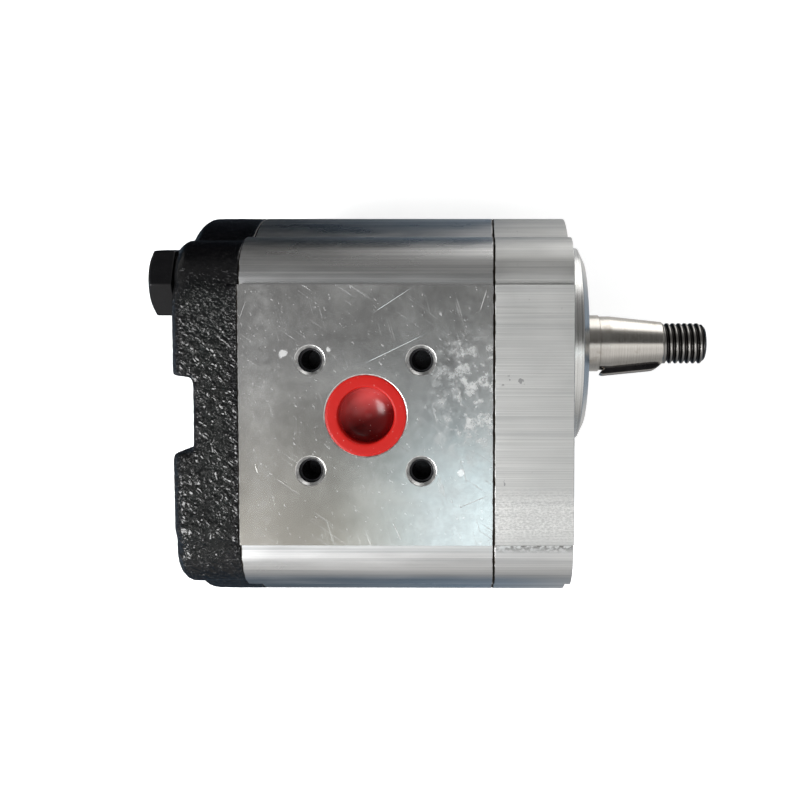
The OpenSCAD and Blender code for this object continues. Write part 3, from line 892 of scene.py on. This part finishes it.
# ---------------------------------------------------------------- light and floor
# What the metal mirrors, by the angle from straight up, positive towards -Y: how blue it is, and its
# strength in directions that lean a little backwards along X, in all the rest, and in those that lean a
# little forwards, which are never blue
WHITE = Vector((1.0, 0.99, 0.97))
DUSK = Vector((0.45, 0.70, 1.0))
SURROUND = [
    (-180, 0.6, (0.05, 0.36, 0.60)),
    (-125, 1, (0.01, 0.10, 0.70)),
    (-116, 0.8, (0.01, 0.09, 1.9)),
    (-100, 0.3, (0.01, 0.12, 2.2)),
    (-93, 0, (0.01, 0.26, 2.3)),
    (-87, 0, (0.01, 0.50, 2.3)),
    (-73, 0, (0.02, 0.46, 2.0)),
    (-60, 0, (0.07, 0.36, 0.35)),
    (-46, 0, (0.13, 0.28, 0.14)),
    (-8, 0, (0.26, 0.17, 0.09)),
    (-1, 0, (0.25, 0.14, 0.10)),
    (3, 0, (0.27, 0.13, 1.05)),
    (10, 0, (0.29, 0.13, 1.10)),
    (14, 0, (0.52, 0.48, 1.10)),
    (25, 0, (0.58, 0.60, 0.85)),
    (50, 0, (0.58, 0.60, 0.80)),
    (60, 0, (0.55, 0.60, 0.62)),
    (71, 0, (0.52, 0.60, 0.45)),
    (83, 0, (0.42, 0.44, 0.40)),
    (95, 0.2, (0.28, 0.28, 0.32)),
    (107, 1, (0.12, 0.22, 0.36)),
    (180, 0.6, (0.05, 0.36, 0.60)),
]
LAMP = Vector((-0.01, -0.185, 0.983))  # a small bluish lamp nearly overhead
LAMP_COLOUR = (0.80, 1.0, 1.05)
LAMP_STRENGTH = 2.4
LAMP_EDGE = (math.cos(math.radians(4.2)), math.cos(math.radians(2)))  # where it begins, and is at its full
WINDOW_STRENGTH = 14.0
BACKDROP = (1.0, 1.0, 1.0)


def area_light(name, place, target, size, power, colour):
    """A soft light that the metal doesn't mirror."""
    data = bpy.data.lights.new(name, "AREA")
    data.shape = "RECTANGLE"
    data.size, data.size_y = size
    data.energy = power
    data.color = colour
    lamp = bpy.data.objects.new(name, data)
    bpy.context.scene.collection.objects.link(lamp)
    lamp.location = place
    lamp.rotation_euler = (Vector(target) - Vector(place)).to_track_quat("-Z", "Y").to_euler()
    lamp.visible_glossy = False


class Sky:
    """The world's node tree, with the few calls that make_surround needs."""

    def __init__(self, world):
        self.tree = world.node_tree

    def add(self, kind, *sources, **settings):
        """A new node, its sockets fed in order with numbers, colours or other nodes' outputs."""
        node = self.tree.nodes.new(kind)
        for key, value in settings.items():
            setattr(node, key, value)
        for socket, source in zip(node.inputs, sources):
            if isinstance(source, bpy.types.NodeSocket):
                self.tree.links.new(source, socket)
            else:
                socket.default_value = source
        return node

    def ramp(self, value, low, high, out_low=0.0, out_high=1.0):
        return self.add("ShaderNodeMapRange", value, low, high, out_low, out_high).outputs["Result"]

    def times(self, a, b):
        return self.add("ShaderNodeMath", a, b, operation="MULTIPLY").outputs[0]

    def minus(self, a, b):
        return self.add("ShaderNodeMath", a, b, operation="SUBTRACT").outputs[0]

    def bands(self, turn, lean):
        """The surround's colours round the X axis for one of its three strengths."""
        node = self.add("ShaderNodeValToRGB", turn)
        stops = node.color_ramp.elements
        while len(stops) > 1:
            stops.remove(stops[-1])
        for i, (degrees, blue, strengths) in enumerate(SURROUND):
            colour = WHITE.lerp(DUSK, blue if lean < 2 else 0) * strengths[lean]
            stop = stops[0] if i == 0 else stops.new((degrees + 180) / 360)
            stop.position = (degrees + 180) / 360
            stop.color = (*colour, 1)
        return node.outputs["Color"]

    def scaled(self, colour, factor):
        node = self.add("ShaderNodeVectorMath", colour, (0, 0, 0), (0, 0, 0), factor, operation="SCALE")
        return node.outputs[0]

    def sum(self, a, b):
        return self.add("ShaderNodeVectorMath", a, b, operation="ADD").outputs[0]


def make_surround():
    """A studio round the object: bands of light that run along X, a window behind the rear cover, a lamp
    overhead, and a plain backdrop for the camera."""
    world = bpy.data.worlds.new("studio")
    world.use_nodes = True
    sky = Sky(world)
    toward = sky.add("ShaderNodeTexCoord").outputs["Generated"]
    x, y, z = sky.add("ShaderNodeSeparateXYZ", toward).outputs
    angle = sky.add("ShaderNodeMath", sky.times(y, -1.0), z, operation="ARCTAN2").outputs[0]
    turn = sky.ramp(angle, -math.pi, math.pi)
    behind, upright, ahead = (sky.bands(turn, lean) for lean in range(3))
    leans_back = sky.times(sky.ramp(x, -0.2, 0.0, 1.0, 0.0), sky.ramp(x, -0.6, -0.45))
    leans_ahead = sky.times(sky.ramp(x, 0.045, 0.11), sky.ramp(x, 0.45, 0.65, 1.0, 0.0))
    rest = sky.minus(sky.minus(1.0, leans_back), leans_ahead)
    colour = sky.sum(sky.scaled(behind, leans_back), sky.scaled(ahead, leans_ahead))
    colour = sky.sum(colour, sky.scaled(upright, rest))
    across = sky.times(sky.ramp(angle, math.radians(8), math.radians(14)),
                       sky.ramp(angle, math.radians(50), math.radians(45)))
    window = sky.times(sky.times(sky.ramp(x, -0.42, -0.46), sky.ramp(x, -0.8, -0.7)), across)
    colour = sky.sum(colour, sky.scaled((1.0, 1.0, 1.0), sky.times(window, WINDOW_STRENGTH)))
    aim = sky.add("ShaderNodeVectorMath", toward, tuple(LAMP.normalized()), operation="DOT_PRODUCT")
    glow = sky.ramp(aim.outputs["Value"], *LAMP_EDGE)
    colour = sky.sum(colour, sky.scaled(LAMP_COLOUR, sky.times(glow, LAMP_STRENGTH)))

    mirrored = sky.add("ShaderNodeBackground", colour)
    shown = sky.add("ShaderNodeBackground", (*BACKDROP, 1))
    seen = sky.add("ShaderNodeLightPath").outputs["Is Camera Ray"]
    mix = sky.add("ShaderNodeMixShader", seen, mirrored.outputs[0], shown.outputs[0])
    output = world.node_tree.nodes["World Output"]
    world.node_tree.links.new(mix.outputs[0], output.inputs["Surface"])
    bpy.context.scene.world = world


def floor_paper():
    """White paper, lit a little from within so that the shadows on it stay faint."""
    n = Nodes("floor_paper", 0.9)
    n.set(Base_Color=(0.9, 0.91, 0.92), Emission_Color=(1.0, 1.0, 1.0), Emission_Strength=0.65)
    return n.material


FLOOR_SIZE = 6
LIGHT_SIZE = (0.9, 0.9)
LIGHT_POWER = 0.7


def make_stage():
    """Two soft lights, the floor that the pump stands on, and the surround."""
    centre = Vector((-0.03, pump_y, 0))
    area_light("window", centre + Vector((-0.45, 0.5, 0.8)), centre, LIGHT_SIZE, LIGHT_POWER, (1, 0.99, 0.97))
    area_light("fill", centre + Vector((0.6, -0.5, 0.8)), centre, LIGHT_SIZE, LIGHT_POWER, (0.96, 0.98, 1))
    bpy.ops.mesh.primitive_plane_add(size=FLOOR_SIZE, location=(0, 0, floor_z))
    floor = bpy.context.object
    floor.name = "floor"
    floor.data.materials.append(floor_paper())
    floor.visible_glossy = False
    make_surround()
    bpy.context.scene.view_settings.view_transform = "Standard"


make_stage()
